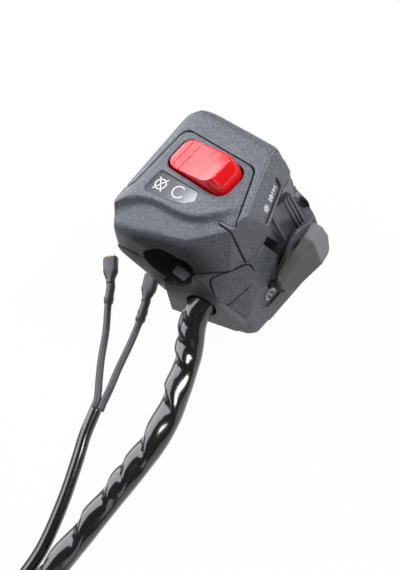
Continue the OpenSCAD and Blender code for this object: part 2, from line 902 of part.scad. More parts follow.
// coil angle a from its start: bottom of the ring, turning clockwise, climbing over its first turn
function ease(t) = let (u = max(0, min(1, t))) u * u * (3 - 2 * u);
function coil_point(a) = [
    coil_x - coil_r * sin(a),
    run_y + coil_r - coil_r * cos(a),
    run_z + coil_rise * ease((a - rise_from) / (rise_to - rise_from))];
coil_steps = coil_turns * coil_rings;
coil_end = coil_point(360 * coil_turns);
coil_path = concat(
    [[joint_x0, run_y, run_z], [joint_x0 - 10, run_y, run_z], [joint_x0 - 26, run_y, run_z]],
    [for (i = [0 : coil_steps]) coil_point(360 * i / coil_rings)],
    [coil_end + [0, harness_d, 0]]);
coil_gap = min([for (i = [0 : len(coil_path) - 1])
    each [for (j = [i + 8 : 1 : len(coil_path) - 1]) norm(coil_path[i] - coil_path[j])]]) - harness_d;
echo("least gap of the coil to itself", coil_gap);

module harness_coil() {
    color("#0c0d0f")
    tube(coil_path, harness_r, 6);
}

// strap round the two stacked turns
module coil_tie() {
    spot = coil_point(tie_angle);
    inside = harness_r + tie_gap;
    roof = run_z + coil_rise + inside - table_z;
    color("#141517")
    translate([spot.x, spot.y, table_z])
        rotate([0, 0, 90 - tie_angle])
            rotate([90, 0, 0])
                translate([0, 0, -tie_w / 2])
                    linear_extrude(height = tie_w)
                        polygon([
                            [-inside - tie_t, 0], [-inside, 0], [-inside, roof], [inside, roof],
                            [inside, 0], [inside + tie_t, 0], [inside + tie_t, roof + tie_t],
                            [-inside - tie_t, roof + tie_t]]);
}

connector_l = 24;
connector_w = 18;
connector_h = 11;

module harness_connector() {
    low = [coil_end.x - connector_w / 2, coil_end.y + harness_d, coil_end.z - harness_r];
    color("#e6e1d3")
    difference() {
        box(low, low + [connector_w, connector_l, connector_h]);
        for (i = [0 : 2])
            for (k = [0 : 1])
                translate(low + [3.6 + i * 5.4, connector_l + 1, 3 + k * 5])
                    rotate([90, 0, 0])
                        cylinder(r = 1.7, h = 15, $fn = 32);
    }
}

module branch_sleeve() {
    color("#101113")
    tube(branch_route, branch_r, 8);
}

module lead_a() {
    color("#4b4d51")
    tube(lead_a_route, lead_r, 8);
}

module lead_b() {
    color("#4b4d51")
    tube(lead_b_route, lead_r, 8);
}

// boot over a flat terminal, from the end of its lead
module boot(p, turn) {
    translate([p.x, p.y, table_z])
        rotate([0, 0, turn])
            linear_extrude(height = boot_h)
                polygon(rounded(
                    [[0, -2], [3, -boot_w / 2], [boot_l, -boot_w / 2], [boot_l, boot_w / 2],
                        [3, boot_w / 2], [0, 2]],
                    [0.6, 2, 0.8, 0.8, 2, 0.6], 4));
}

// end of the folded terminal in the mouth of its boot
module terminal(p, turn) {
    translate([p.x, p.y, table_z])
        rotate([0, 0, turn])
            box([boot_l, -terminal_w / 2, boot_h / 2 - terminal_h / 2],
                [boot_l + terminal_l, terminal_w / 2, boot_h / 2 + terminal_h / 2]);
}

module boot_a() {
    color("#4b4d51")
    boot(lead_a_route[len(lead_a_route) - 1], boot_a_turn);
}

module boot_b() {
    color("#4b4d51")
    boot(lead_b_route[len(lead_b_route) - 1], boot_b_turn);
}

module terminal_a() {
    color("#c9953f")
    terminal(lead_a_route[len(lead_a_route) - 1], boot_a_turn);
}

module terminal_b() {
    color("#c9953f")
    terminal(lead_b_route[len(lead_b_route) - 1], boot_b_turn);
}

upper_shell();
face_cover();
lower_shell();
legend_plate();
blanking_cover();
clamp_screws();
kill_base();
kill_contacts();
kill_pin();
kill_rocker();
rocker_contact();
slider_track();
slider_base();
slider_contacts();
slider_knob();
slider_carrier();
slider_contact();
starter_base();
starter_contacts();
starter_pin();
starter_spring();
starter_lever();
starter_bridge();
module_screws();
earth_strip();
harness_grommet();
harness_clip();
harness_run();
harness_joint();
harness_coil();
coil_tie();
harness_connector();
branch_sleeve();
lead_a();
lead_b();
boot_a();
boot_b();
terminal_a();
terminal_b();
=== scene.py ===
"""Handlebar switch cluster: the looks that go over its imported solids."""
import math

import bmesh
import bpy
from mathutils import Matrix, Vector, noise
from mathutils.geometry import interpolate_bezier
from mathutils.kdtree import KDTree


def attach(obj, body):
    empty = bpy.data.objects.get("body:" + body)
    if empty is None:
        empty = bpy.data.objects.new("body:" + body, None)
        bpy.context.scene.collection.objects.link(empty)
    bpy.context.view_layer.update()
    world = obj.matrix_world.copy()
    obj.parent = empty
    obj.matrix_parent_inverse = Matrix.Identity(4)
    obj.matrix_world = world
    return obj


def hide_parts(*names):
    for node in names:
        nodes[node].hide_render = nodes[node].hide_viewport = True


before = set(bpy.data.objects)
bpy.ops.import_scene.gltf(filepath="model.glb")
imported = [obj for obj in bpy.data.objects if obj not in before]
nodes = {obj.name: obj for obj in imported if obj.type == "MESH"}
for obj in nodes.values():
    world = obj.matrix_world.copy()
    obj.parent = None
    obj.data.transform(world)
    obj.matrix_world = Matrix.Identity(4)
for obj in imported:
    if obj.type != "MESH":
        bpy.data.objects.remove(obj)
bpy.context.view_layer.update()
scene = bpy.context.scene
MM = 0.001
# Height of the table in mm
TABLE = -34.0


def mm(x, y, z):
    """A point given in millimetres, in metres."""
    return Vector((x, y, z)) * MM


# Camera at the photograph's angle, given by its own right and up directions.
right = Vector((0.657, -0.721, -0.222)).normalized()
up = Vector((0.721, 0.515, 0.463))
up = (up - right * up.dot(right)).normalized()
back = right.cross(up)
camera = bpy.data.objects.new("camera", bpy.data.cameras.new("camera"))
scene.collection.objects.link(camera)
facing = Matrix((right, up, back)).transposed().to_4x4()
camera.matrix_world = Matrix.Translation(mm(-90.1, -152.5, 251.1)) @ facing
camera.data.lens = 46.8
camera.data.sensor_width = 36
camera.data.clip_start = 0.01
camera.data.clip_end = 20
scene.camera = camera


# Shader helpers


def hexed(code):
    """A linear colour from an sRGB hex value."""
    parts = [int(code[i:i + 2], 16) / 255 for i in (1, 3, 5)]
    return (*[c / 12.92 if c <= 0.04045 else ((c + 0.055) / 1.055) ** 2.4 for c in parts], 1.0)


def add(tree, kind, settings=None, links=None):
    """One shader node with its settings, by property or socket name, and its incoming links."""
    made = tree.nodes.new(kind)
    for key, value in (settings or {}).items():
        if isinstance(key, str) and hasattr(made, key):
            setattr(made, key, value)
        else:
            made.inputs[key].default_value = value
    for key, socket in (links or {}).items():
        tree.links.new(socket, made.inputs[key])
    return made


def start(name, **settings):
    """A new material: its tree, its shader with the given constants, and its object coordinates."""
    made = bpy.data.materials.new(name)
    made.use_nodes = True
    tree = made.node_tree
    shader = tree.nodes["Principled BSDF"]
    for key, value in settings.items():
        shader.inputs[key.replace("_", " ")].default_value = value
    return made, tree, shader, add(tree, "ShaderNodeTexCoord").outputs["Object"]


def grained_plastic(name, colour, pale, rough, grain_mm, height_mm, dust=None, dust_amount=0.0, tone=None):
    """Moulded plastic from a spark eroded mould: the fine pits scatter light, so the colour looks a little
    mottled and the sheen is broad. The real grit is about 0.15 mm; it is drawn coarser so that it shows."""
    made, tree, shader, where = start(name)
    grit = add(tree, "ShaderNodeTexNoise", {"Scale": 1 / (grain_mm * MM), "Detail": 3.0, "Roughness": 0.6},
               {"Vector": where})
    cloud = add(tree, "ShaderNodeTexNoise", {"Scale": 1 / (9 * MM), "Detail": 2.0}, {"Vector": where})
    ramp = add(tree, "ShaderNodeValToRGB", links={"Fac": grit.outputs["Fac"]})
    ramp.color_ramp.elements[0].position, ramp.color_ramp.elements[1].position = 0.4, 0.62
    ramp.color_ramp.elements[0].color, ramp.color_ramp.elements[1].color = hexed(colour), hexed(pale)
    shade = add(tree, "ShaderNodeMapRange", {"From Min": 0.3, "From Max": 0.7, "To Min": 0.86, "To Max": 1.0},
                {"Value": cloud.outputs["Fac"]})
    mixed = add(tree, "ShaderNodeMix", {"data_type": "RGBA", "blend_type": "MULTIPLY", 0: 1.0},
                {6: ramp.outputs["Color"], 7: shade.outputs["Result"]})
    last = mixed.outputs[2]
    if tone:
        last = tone(tree, where, last)
    if dust:
        specks = add(tree, "ShaderNodeTexVoronoi", {"Scale": 1 / (3.2 * MM), "Randomness": 1.0},
                     {"Vector": where})
        spot = add(tree, "ShaderNodeMapRange", {"From Min": 0.06, "From Max": 0.04, "To Max": dust_amount},
                   {"Value": specks.outputs["Distance"]})
        last = add(tree, "ShaderNodeMix", {"data_type": "RGBA", 7: hexed(dust)},
                   {0: spot.outputs["Result"], 6: last}).outputs[2]
    tree.links.new(last, shader.inputs["Base Color"])
    gloss = add(tree, "ShaderNodeMapRange", {"To Min": rough - 0.06, "To Max": rough + 0.08},
                {"Value": grit.outputs["Fac"]})
    tree.links.new(gloss.outputs["Result"], shader.inputs["Roughness"])
    bump = add(tree, "ShaderNodeBump", {"Strength": 0.5, "Distance": height_mm * MM},
               {"Height": grit.outputs["Fac"]})
    tree.links.new(bump.outputs["Normal"], shader.inputs["Normal"])
    return made


def housing_painted_shade(tree, where, colour):
    """Painted shade: near black inside the bar's bore, and dull brown with less sheen round its mouth, low on
    the collar.
    """
    # Painted shade in the bore: within 12.2 mm of the bar's axis, the colour goes up to 0.88 of the way to
    # near black.
    across = add(tree, "ShaderNodeMapping", {"Scale": (0, 1, 1)}, {"Vector": where})
    reach = add(tree, "ShaderNodeVectorMath", {"operation": "LENGTH"}, {0: across.outputs["Vector"]})
    bore = add(tree, "ShaderNodeMapRange", {"From Min": 12.2 * MM, "From Max": 11.4 * MM, "To Max": 0.88},
               {"Value": reach.outputs["Value"]})
    dark = add(tree, "ShaderNodeMix", {"data_type": "RGBA", 7: hexed("#08080a")},
               {0: bore.outputs["Result"], 6: colour})
    # Painted shade round the bore's mouth: within 27 mm of it and below 17.5 mm high, the colour goes dull
    # brown and the sheen drops, standing in for the shade on the near end.
    from_mouth = add(tree, "ShaderNodeVectorMath", {"operation": "DISTANCE", 1: mm(-29, 1, 1)}, {0: where})
    mouth_shade = add(tree, "ShaderNodeMapRange", {"From Min": 27 * MM, "From Max": 15 * MM, "To Max": 0.7},
               {"Value": from_mouth.outputs["Value"]})
    place = add(tree, "ShaderNodeSeparateXYZ", links={0: where})
    low = add(tree, "ShaderNodeMapRange", {"From Min": 17.5 * MM, "From Max": 14.5 * MM},
              {"Value": place.outputs["Z"]})
    painted_mouth_shade = add(tree, "ShaderNodeMath", {"operation": "MULTIPLY"},
                {0: mouth_shade.outputs["Result"], 1: low.outputs["Result"]})
    sheen = add(tree, "ShaderNodeMapRange", {"From Max": 0.6, "To Min": 0.5, "To Max": 0.08},
                {"Value": painted_mouth_shade.outputs[0]})
    tree.links.new(sheen.outputs["Result"], tree.nodes["Principled BSDF"].inputs["Specular IOR Level"])
    return add(tree, "ShaderNodeMix", {"data_type": "RGBA", 7: hexed("#2b2723")},
               {0: painted_mouth_shade.outputs[0], 6: dark.outputs[2]}).outputs[2]


def lever_painted_highlight(tree, where, colour):
    """Painted highlight: the lever's end facet past x = 15.4 mm is painted paler, for the light that it
    catches.
    """
    place = add(tree, "ShaderNodeSeparateXYZ", links={0: where})
    # Painted highlight: from x = 15.4 to 16.4 mm, the colour goes most of the way to a pale grey.
    lit_end = add(tree, "ShaderNodeMapRange", {"From Min": 15.4 * MM, "From Max": 16.4 * MM, "To Max": 0.8},
                 {"Value": place.outputs["X"]})
    return add(tree, "ShaderNodeMix", {"data_type": "RGBA", 7: hexed("#7a7d82")},
               {0: lit_end.outputs["Result"], 6: colour}).outputs[2]


def glossy_plastic(name, colour, deep, rough, wave_mm=6.0, wave_h_mm=0.02, **constants):
    """Plastic from a polished mould: a clean mirror sheen that the slight sink marks bend, with the colour a
    little deeper where the wall is thick."""
    made, tree, shader, where = start(name, **constants)
    sink = add(tree, "ShaderNodeTexNoise", {"Scale": 1 / (wave_mm * MM), "Detail": 1.0}, {"Vector": where})
    handled = add(tree, "ShaderNodeTexNoise", {"Scale": 1 / (1.1 * MM), "Detail": 4.0}, {"Vector": where})
    tone = add(tree, "ShaderNodeMix", {"data_type": "RGBA", 6: hexed(colour), 7: hexed(deep)},
               {0: sink.outputs["Fac"]})
    tree.links.new(tone.outputs[2], shader.inputs["Base Color"])
    gloss = add(tree, "ShaderNodeMapRange",
                {"From Min": 0.35, "From Max": 0.75, "To Min": rough, "To Max": rough + 0.09},
                {"Value": handled.outputs["Fac"]})
    tree.links.new(gloss.outputs["Result"], shader.inputs["Roughness"])
    bump = add(tree, "ShaderNodeBump", {"Strength": 0.6, "Distance": wave_h_mm * MM},
               {"Height": sink.outputs["Fac"]})
    tree.links.new(bump.outputs["Normal"], shader.inputs["Normal"])
    return made


def plain_metal(name, colour, dull, rough, line_mm, along=(1, 1, 1), metallic=1.0):
    """Sheet or drawn metal: fine parallel marks from the rolls or the die, and a dull bloom in patches."""
    made, tree, shader, where = start(name, Metallic=metallic)
    lay = add(tree, "ShaderNodeMapping", {"Scale": along}, {"Vector": where})
    marks = add(tree, "ShaderNodeTexNoise", {"Scale": 1 / (line_mm * MM), "Detail": 3.0},
                {"Vector": lay.outputs["Vector"]})
    bloom = add(tree, "ShaderNodeTexNoise", {"Scale": 1 / (2.5 * MM), "Detail": 2.0}, {"Vector": where})
    tone = add(tree, "ShaderNodeMix", {"data_type": "RGBA", 6: hexed(colour), 7: hexed(dull)},
               {0: bloom.outputs["Fac"]})
    tree.links.new(tone.outputs[2], shader.inputs["Base Color"])
    gloss = add(tree, "ShaderNodeMapRange", {"To Min": rough - 0.08, "To Max": rough + 0.12},
                {"Value": marks.outputs["Fac"]})
    tree.links.new(gloss.outputs["Result"], shader.inputs["Roughness"])
    bump = add(tree, "ShaderNodeBump", {"Strength": 0.3, "Distance": 0.01 * MM},
               {"Height": marks.outputs["Fac"]})
    tree.links.new(bump.outputs["Normal"], shader.inputs["Normal"])
    return made


# Charcoal ABS of the shell halves, matt from the mould's grain, with a little dust from handling.
shell_abs = grained_plastic(
    "grained_charcoal_abs", "#3f4247", "#74787f", 0.42, 0.45, 0.06, "#9b9da1", 0.55, housing_painted_shade)
# Painted shade: the same ABS a little darker, for the lower half and the blanking cover, which face away from
# the lamps.
lower_abs_painted_shade = grained_plastic(
    "grained_charcoal_abs_painted_darker", "#383b40", "#656970", 0.42, 0.45, 0.06, "#9b9da1", 0.6, housing_painted_shade)
# Warm grey nylon of the start lever, finer grained, with a painted highlight on its end facet.
lever_nylon = grained_plastic(
    "grained_warm_grey_nylon", "#484645", "#5a5856", 0.46, 0.4, 0.03, "#8e8c86", 0.3, lever_painted_highlight)
# Red polycarbonate of the stop rocker, polished and lacquered, so that it mirrors the lamps.
rocker_red = glossy_plastic(
    "lacquered_red_polycarbonate", "#ef0212", "#d8000c", 0.14, Coat_Weight=0.3, Coat_Roughness=0.05)
# Black acetal of the slider, polished, so that its ridges catch thin lights.
slider_black = glossy_plastic(
    "polished_black_acetal", "#4e5157", "#3e4045", 0.22, Coat_Weight=0.6, Coat_Roughness=0.12)
# White printing ink, matt and slightly uneven in tone.
ink_white = grained_plastic("white_printing_ink", "#e6e7e8", "#f6f6f6", 0.5, 0.3, 0.01)
# Shrunk vinyl sleeve of the harness, wet looking and tight on the wires.
sleeve_vinyl = glossy_plastic(
    "shrunk_black_vinyl_sleeve", "#0a0b0d", "#050607", 0.18, 9.0, 0.01, IOR=1.5, Coat_Weight=0.8,
    Coat_Roughness=0.08)
# Dark grey PVC of the leads, dull from the die, and the slightly rougher sleeving shrunk over their ends.
lead_pvc = grained_plastic("extruded_dark_grey_pvc", "#34363a", "#45474b", 0.4, 0.7, 0.02, "#8f9195", 0.25)
boot_pvc = grained_plastic("shrunk_dark_grey_sleeving", "#35373b", "#434549", 0.42, 0.6, 0.03, "#8f9195", 0.3)
# Bright yellow and reddish strip of the terminals and contacts.
brass = plain_metal("rolled_brass", "#c99a45", "#a3762f", 0.3, 0.4, (1, 1, 6))
copper = plain_metal("rolled_copper_alloy", "#c07a45", "#9a5c32", 0.32, 0.4, (1, 1, 6))
# Clear grey plating of the screws, pins and spring, and the greyer, half matt strip in the bore.
zinc = plain_metal("zinc_plated_steel", "#c3c6ca", "#a3a7ac", 0.3, 0.5, (1, 5, 1))
dull_tin = plain_metal("dull_tin_plated_strip", "#a4a8ac", "#7b7f83", 0.4, 0.5, (1, 5, 1), 0.5)
# Tan phenolic of the switch bases and milky nylon of the carrier and connector, both unseen from the front.
phenolic = grained_plastic("moulded_natural_phenolic", "#9a8c6d", "#b9ab8c", 0.55, 0.8, 0.03)
nylon = grained_plastic("moulded_natural_nylon", "#d5d0c0", "#e6e1d3", 0.45, 0.9, 0.02)
# Black rubber, dead matt, and the black nylon of the tie, a little brighter.
rubber = grained_plastic("moulded_black_rubber", "#17181a", "#242527", 0.6, 0.5, 0.03)
strap_nylon = grained_plastic("ribbed_black_nylon_strap", "#121315", "#1d1e20", 0.4, 0.6, 0.03)

# Legend insert: polycarbonate painted from behind, its colour a painted reflection that fades from near black
# at its left end to pale silver at its right.
legend_painted_reflection, tree, shader, where = start("polycarbonate_painted_reflection", Roughness=0.3)
place = add(tree, "ShaderNodeSeparateXYZ", links={0: where})
# Painted reflection: the colour runs from near black at Y = 18 mm to pale silver at Y = -3 mm.
reflection_fade = add(tree, "ShaderNodeMapRange", {"From Min": 18 * MM, "From Max": -3 * MM},
           {"Value": place.outputs["Y"]})
flake = add(tree, "ShaderNodeTexNoise", {"Scale": 1 / (0.45 * MM), "Detail": 2.0}, {"Vector": where})
even = add(tree, "ShaderNodeMath", {"operation": "MULTIPLY_ADD", 1: 0.1, 2: -0.05}, {0: flake.outputs["Fac"]})
sum_up = add(tree, "ShaderNodeMath", {"operation": "ADD"}, {0: reflection_fade.outputs["Result"], 1: even.outputs[0]})
ramp = add(tree, "ShaderNodeValToRGB", links={"Fac": sum_up.outputs[0]})
ramp.color_ramp.elements[0].color, ramp.color_ramp.elements[1].color = hexed("#1f2124"), hexed("#b4b6b9")
for spot, code in ((0.4, "#393b3f"), (0.72, "#6a6c70")):
    ramp.color_ramp.elements.new(spot).color = hexed(code)
tree.links.new(ramp.outputs["Color"], shader.inputs["Base Color"])


# Piece helpers


def dress(obj, material):
    """Give an object its one material."""
    obj.data.materials.clear()
    obj.data.materials.append(material)


def as_mesh(bm, name):
    """The finished mesh of a bmesh, which is freed."""
    mesh = bpy.data.meshes.new(name)
    bm.to_mesh(mesh)
    bm.free()
    return mesh


def finish_piece(name, mesh, body, material, slot, *stands_for, smooth=True):
    """Put a finished mesh in the scene as a piece that rides on a body."""
    piece = bpy.data.objects.new(name, mesh)
    scene.collection.objects.link(piece)
    dress(piece, material)
    for face in mesh.polygons:
        face.use_smooth = smooth
    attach(piece, body)
    if stands_for:
        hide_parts(*stands_for)
    return piece


def smooth_line(points, step, fine=None):
    """Points about step apart on one smooth curve through the points of a route, three steps apart after the
    first fine ones."""
    count, line = len(points), []
    gap = [(points[i + 1] - points[i]).length for i in range(count - 1)]
    lean = []
    for i in range(count):
        before, after = max(i - 1, 0), min(i + 1, count - 1)
        lean.append((points[after] - points[before]) / sum(gap[before:after]))
    for i in range(count - 1):
        part = interpolate_bezier(points[i], points[i] + lean[i] * gap[i] / 3,
                                  points[i + 1] - lean[i + 1] * gap[i] / 3, points[i + 1],
                                  max(2, round(gap[i] / step / (3 if fine and i >= fine else 1)) + 1))
        line += part if i == count - 2 else part[:-1]
    return line


def tube_mesh(name, line, radius, sides):
    """A capped tube along a line, as a merged mesh."""
    curve = bpy.data.curves.new(name, "CURVE")
    curve.dimensions, curve.twist_mode = "3D", "Z_UP"
    spline = curve.splines.new("POLY")
    spline.points.add(len(line) - 1)
    for spot, p in zip(spline.points, line):
        spot.co = (*p, 1)
    curve.bevel_depth, curve.bevel_resolution, curve.use_fill_caps = radius, sides // 2 - 2, True
    shown = bpy.data.objects.new(name, curve)
    mesh = bpy.data.meshes.new_from_object(shown)
    bpy.data.curves.remove(curve)
    bm = bmesh.new()
    bm.from_mesh(mesh)
    bmesh.ops.remove_doubles(bm, verts=bm.verts, dist=1e-6)
    bmesh.ops.recalc_face_normals(bm, faces=bm.faces)
    bm.to_mesh(mesh)
    bm.free()
    return mesh


def reshape_tube(mesh, line, radius, profile):
    """Move each point of a tube to profile(s, angle) times its radius, s in mm along the line."""
    tree, along = KDTree(len(line)), [0.0]
    for i, p in enumerate(line):
        tree.insert(p, i)
        if i:
            along.append(along[-1] + (p - line[i - 1]).length / MM)
    tree.balance()
    for vert in mesh.vertices:
        i = tree.find(vert.co)[1]
        ahead = (line[min(i + 1, len(line) - 1)] - line[max(i - 1, 0)]).normalized()
        out = vert.co - line[i]
        out -= ahead * out.dot(ahead)
        if out.length < radius * 0.5:
            continue
        side = ahead.cross(Vector((0, 0, 1))).normalized()
        angle = math.atan2(out.dot(side.cross(ahead)), out.dot(side))
        vert.co += out * (profile(along[i], angle) * radius / out.length - 1)
        vert.co.z = max(vert.co.z, TABLE * MM)
    return along[-1]


# Cords: routes repeated from the part's source, in millimetres

harness_route = [
    (-17.6, -12, -21.7), (-22, -12, -21.7), (-27, -12, -21.7), (-32, -12.6, -22.8), (-37, -14.6, -25),
    (-42, -17.2, -27.3), (-47, -19.9, -28.6), (-53, -22.9, -29), (-61, -26.6, -29), (-70, -30.4, -29),
    (-80, -33, -29), (-92, -34.5, -29), (-110, -35.3, -29), (-130, -36.4, -29), (-148, -37, -29),
    (-164, -37, -29)]
coil_middle, coil_y, coil_z, coil_radius, coil_rise = -228, -37, -29, 54, 10.6
# Degrees of the coil where the cord starts to climb, and over which it climbs
climb_start, climb_over = 265, 65


def ease(t):
    """A step from 0 to 1 with soft ends."""
    t = max(0.0, min(1.0, t))
    return t * t * (3 - 2 * t)


def coil_point(degrees):
    """A point of the coil, which climbs over its own start on the second turn."""
    a = math.radians(degrees)
    return (coil_middle - coil_radius * math.sin(a), coil_y + coil_radius - coil_radius * math.cos(a),
            coil_z + coil_rise * ease((degrees - climb_start) / climb_over))


coil_route = [(x, coil_y, coil_z) for x in (-174, -184, -194, -210)]
coil_route += [coil_point(15 * i) for i in range(31)]
coil_end = coil_point(450)
coil_route.append((coil_end[0], coil_end[1] + 10, coil_end[2]))
branch_route = [
    (-164, -28.6, -31.2), (-156, -28.6, -31.2), (-143, -27.1, -31.2), (-131, -23.2, -31.2),
    (-119, -17.9, -31.2), (-107.6, -12.1, -31.2), (-99.1, -7.4, -31.2), (-91.4, -4.2, -31.2),
    (-88, -2.8, -31.2)]
lead_a_route = [
    (-88.6, -1.32, -32.4), (-85.2, 0.08, -32.4), (-81.6, 2.9, -32.4), (-78, 6.2, -32.4), (-70.5, 12.5, -32.4),
    (-59.8, 20.5, -32.4), (-50, 29.2, -32.4), (-43, 34.6, -32.4), (-40.9, 36.7, -32.4)]
lead_b_route = [
    (-87.38, -4.27, -32.4), (-83.98, -2.87, -32.4), (-78, -0.8, -32.4), (-69, 2.8, -32.4), (-57, 7, -32.4),
    (-47.1, 11.1, -32.4), (-39.6, 14.9, -32.4), (-37.5, 16.1, -32.4)]


# Creases of the shrunk film as lines of (mm along the harness, degrees round it from its left side over its
# top); the film rises slowly before each line and falls away sharply behind it.
creases = [
    [(12, 50), (20, 120), (27, 165)], [(17, -5), (24, 75), (33, 155)], [(28, 15), (37, 105)],
    [(43, -20), (48, 55), (58, 140)], [(60, -20), (67, 50), (78, 130)], [(69, 70), (75, 140)]]
CREASE_REPEAT = 61
creases += [[(s + CREASE_REPEAT * i, a) for s, a in crease] for i in range(1, 11) for crease in creases[1:]]
# Stretch in mm, before and after a crease's first point, that the crease draws on.
DRAWN_BEFORE, DRAWN_AFTER = 12, 28
FILM_RADIUS = 5.5
# Widths of a fold in mm: before its crease, behind it, and past the crease's ends.
FOLD_RISE, FOLD_FALL, FOLD_END = 5.4, 2.0, 3.2
# Shares of the film's radius: the hollow of its folded side, the height of the folds there and all round, and
# its unevenness. The middle of the folded side is at this angle in radians.
FILM_HOLLOW, FOLD_HEIGHT, FOLD_ROUND, FILM_UNEVEN = 0.2, 0.29, 0.03, 0.04
FOLDED_SIDE = 1.15


def crease_height(crease, s, angle):
    """How far the film is drawn out towards one crease, from 0 to 1."""
    best = (math.inf, 0.0, 0.0)
    for (s0, a0), (s1, a1) in zip(crease, crease[1:]):
        away = (math.degrees(angle) - a0 + 180) % 360 - 180
        step = Vector((s1 - s0, math.radians(a1 - a0) * FILM_RADIUS))
        spot = Vector((s - s0, math.radians(away) * FILM_RADIUS))
        run = spot.dot(step) / step.length_squared
        past = max(0.0, -run, run - 1) * step.length
        behind = (spot.x * step.y - spot.y * step.x) / step.length
        best = min(best, (abs(behind) + past, behind, past), key=lambda found: found[0])
    behind, past = best[1:]
    wide = FOLD_RISE if behind < 0 else FOLD_FALL
    return math.exp(-(behind / wide) ** 2 - (past / FOLD_END) ** 2)


def crinkle(s, angle):
    """Radius share of the shrunk film: drawn into rounded folds on its left, tight on its right."""
    left = max(0.0, math.cos(angle - FOLDED_SIDE)) * ease((s - 9) / 6)
    flat = 1.0
    for crease in creases:
        if crease[0][0] - DRAWN_BEFORE < s < crease[0][0] + DRAWN_AFTER:
            flat *= 1 - crease_height(crease, s, angle)
    p = Vector((math.cos(angle), math.sin(angle), s / 11))
    # Fullest at the housing, and slimmer over two soft steps
    full = 1.16 - 0.04 * ease((s - 20) / 50) - 0.12 * ease((s - 60) / 60)
    folds = (1 - flat) * (FOLD_ROUND + FOLD_HEIGHT * left)
    return full * (1 - FILM_HOLLOW * left + folds + FILM_UNEVEN * noise.noise(p * 0.9))


def make_cord(name, route, radius, sides, step, profile, material, slot, stands_for, fine=None):
    """A cord along a route in mm: its piece, its centreline and its length."""
    line = smooth_line([mm(*p) for p in route], step * MM, fine)
    mesh = tube_mesh(name, line, radius * MM, sides)
    length = reshape_tube(mesh, line, radius * MM, profile)
    return finish_piece(name, mesh, "housing", material, slot, *stands_for), line, length * MM


# Millimetres along a cord in which its unevenness changes, and of a lead that its boot's sleeving covers
UNEVEN_STEP, SLEEVED = 14, 12


def around(s, angle, seed):
    """Place on a cord at which the noise of its unevenness is read."""
    return Vector((math.cos(angle), math.sin(angle), s / UNEVEN_STEP + seed))


def slightly_uneven(seed):
    """Radius share of a plain sleeve."""
    return lambda s, angle: 1 + 0.03 * noise.noise(around(s, angle, seed))


def shrunk_end(seed, total, lumps):
    """Radius share of a lead whose last stretch is in its boot's sleeving, lumpy where that was shrunk."""
    def share(s, angle):
        before = total - s
        p = around(s, angle, seed)
        over = ease((SLEEVED - before) / 1.4)
        lump = sum(high * math.exp(-((before - at) / wide) ** 2) for at, wide, high in lumps)
        return 1.08 + 0.02 * noise.noise(p) + over * (0.24 + lump + 0.06 * noise.noise(p * 2.3))
    return share


harness, harness_line, harness_length = make_cord(
    "harness_sleeve", harness_route + coil_route, 5, 64, 0.5, crinkle, sleeve_vinyl, "sleeve",
    ["harness_run", "harness_coil"], len(harness_route))
branch, branch_line, branch_length = make_cord(
    "branch_sleeving", branch_route, 2.7, 28, 1.0, slightly_uneven(3), sleeve_vinyl, "sleeve",
    ["branch_sleeve"])
lead_a, lead_a_line, lead_a_length = make_cord(
    "lead_a_wire", lead_a_route, 1.5, 28, 0.5, shrunk_end(11, 61, [(9, 1.6, 0.2), (3, 2, 0.08)]),
    lead_pvc, "lead", ["lead_a"])
lead_b, lead_b_line, lead_b_length = make_cord(
    "lead_b_wire", lead_b_route, 1.5, 28, 0.5,
    shrunk_end(19, 54, [(10, 1.3, 0.24), (6.5, 1.5, 0.2), (1, 2, 0.1)]), lead_pvc, "lead", ["lead_b"])

# Boots: sleeving shrunk over flat terminals, with open mouths; heights and sizes in mm, turns in degrees

BOOT_Z, BOOT_STEP, BOOT_WALL, MOUTH_DEPTH = -31.9, 0.25, 0.4, 2.4
TERMINAL_Z, TERMINAL_LENGTH = -31.7, 3.2
boot_a_turn, boot_b_turn = 45, 29.7


def boot_sleeving(name, end, degrees, seed, node):
    """Round where it grips the lead, flat over the terminal, and open at its mouth."""
    a = math.radians(degrees)
    ahead = Vector((math.cos(a), math.sin(a), 0))
    # Sections: mm from the lead's end, half width, half height, and how square
    shape = [(-1.5, 2.0, 1.9, 2), (0.5, 2.1, 1.9, 2), (2.6, 2.75, 1.95, 2.3), (4, 3.3, 2.05, 2.8),
             (5.2, 3.45, 2.15, 3.4), (12, 3.45, 2.2, 4)]
    grip = -shape[0][0]
    steps = round((shape[-1][0] + grip) / BOOT_STEP)
    line = [mm(end[0], end[1], BOOT_Z) + ahead * (i * BOOT_STEP - grip) * MM for i in range(steps + 1)]

    def share(s, angle):
        t = s - grip
        i = max(j for j in range(len(shape) - 1) if shape[j][0] <= t + 1e-6)
        low, high = shape[i], shape[i + 1]
        u = ease((t - low[0]) / (high[0] - low[0]))
        w, h, n = (low[k] + (high[k] - low[k]) * u for k in (1, 2, 3))
        p = Vector((math.cos(angle) * 1.2, math.sin(angle) * 1.2, s / 4 + seed))
        reach = (abs(math.cos(angle) / w) ** n + abs(math.sin(angle) / h) ** n) ** (-1 / n)
        return reach + 0.09 * noise.noise(p)

    mesh = tube_mesh(name, line, 1 * MM, 48)
    reshape_tube(mesh, line, 1 * MM, share)
    bm = bmesh.new()
    bm.from_mesh(mesh)
    cap = [f for f in bm.faces if all((v.co - line[-1]).dot(ahead) > -0.1 * MM for v in f.verts)]
    mouth = bmesh.ops.dissolve_faces(bm, faces=cap)["region"][0]
    bmesh.ops.inset_region(bm, faces=[mouth], thickness=BOOT_WALL * MM, use_even_offset=True)
    pushed = bmesh.ops.extrude_discrete_faces(bm, faces=[mouth])["faces"]
    bmesh.ops.translate(bm, verts=pushed[0].verts, vec=ahead * -MOUTH_DEPTH * MM)
    bmesh.ops.recalc_face_normals(bm, faces=bm.faces)
    bm.to_mesh(mesh)
    bm.free()
    finish_piece(name, mesh, "housing", boot_pvc, "lead", node)


